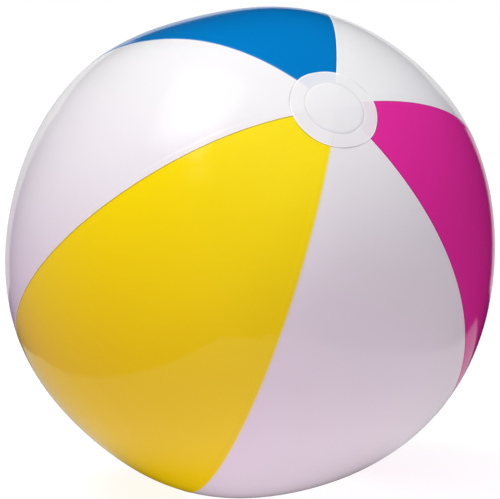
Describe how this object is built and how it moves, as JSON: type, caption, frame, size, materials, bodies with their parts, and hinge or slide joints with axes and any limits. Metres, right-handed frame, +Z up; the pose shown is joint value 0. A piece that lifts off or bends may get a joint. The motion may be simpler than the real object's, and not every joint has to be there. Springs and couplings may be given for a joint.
{
  "type": "inflatable beach ball",
  "caption": "Round air-filled vinyl beach ball of bright and white panels that meet under a round disc at each end, with a push-in air valve.",
  "frame": {"origin": "middle of the small flat on which the ball rests, on the floor under the ball's centre", "axes": "+Z up. The line through the two end discs leans along (1, -1, 1): the plain disc faces up and to the front right (+X, -Y), and the valve faces down and to the back left (-X, +Y)"},
  "size_m": [0.3987, 0.3987, 0.3974],
  "materials": {
    "vinyl_white": "glossy soft vinyl film",
    "vinyl_magenta": "glossy soft vinyl film",
    "vinyl_blue": "glossy soft vinyl film",
    "vinyl_yellow": "glossy soft vinyl film",
    "vinyl_disc": "glossy soft vinyl film, slightly translucent",
    "valve_clear": "satin soft clear vinyl moulding"
  },
  "bodies": {
    "ball": {"panel_white_low": "vinyl_white", "panel_magenta": "vinyl_magenta", "panel_white_right": "vinyl_white", "panel_blue": "vinyl_blue", "panel_white_left": "vinyl_white", "panel_yellow": "vinyl_yellow", "end_disc_plain": "vinyl_disc", "end_disc_valve": "vinyl_disc", "valve_flange": "valve_clear", "valve_collar": "valve_clear"},
    "stem": {"valve_stem": "valve_clear", "plug_tether": "valve_clear"},
    "plug": {"valve_plug": "valve_clear"},
    "flap": {"valve_check_flap": "valve_clear"}
  },
  "joints": [
    {"name": "stem_pull", "type": "slide", "parent": "ball", "child": "stem", "axis": [-0.5774, 0.5774, -0.5774], "range_m": [0, 0.017], "deforming": ["valve_collar"]},
    {"name": "plug_pull", "type": "slide", "parent": "stem", "child": "plug", "axis": [-0.5774, 0.5774, -0.5774], "range_m": [0, 0.009], "deforming": ["plug_tether"]},
    {"name": "flap_open", "type": "hinge", "parent": "stem", "child": "flap", "pos_m": [-0.1117, 0.1117, 0.09231], "axis": [-0.7071, -0.7071, 0], "range_deg": [0, 60], "stiffness_Nm_per_rad": 0.0001}
  ]
}
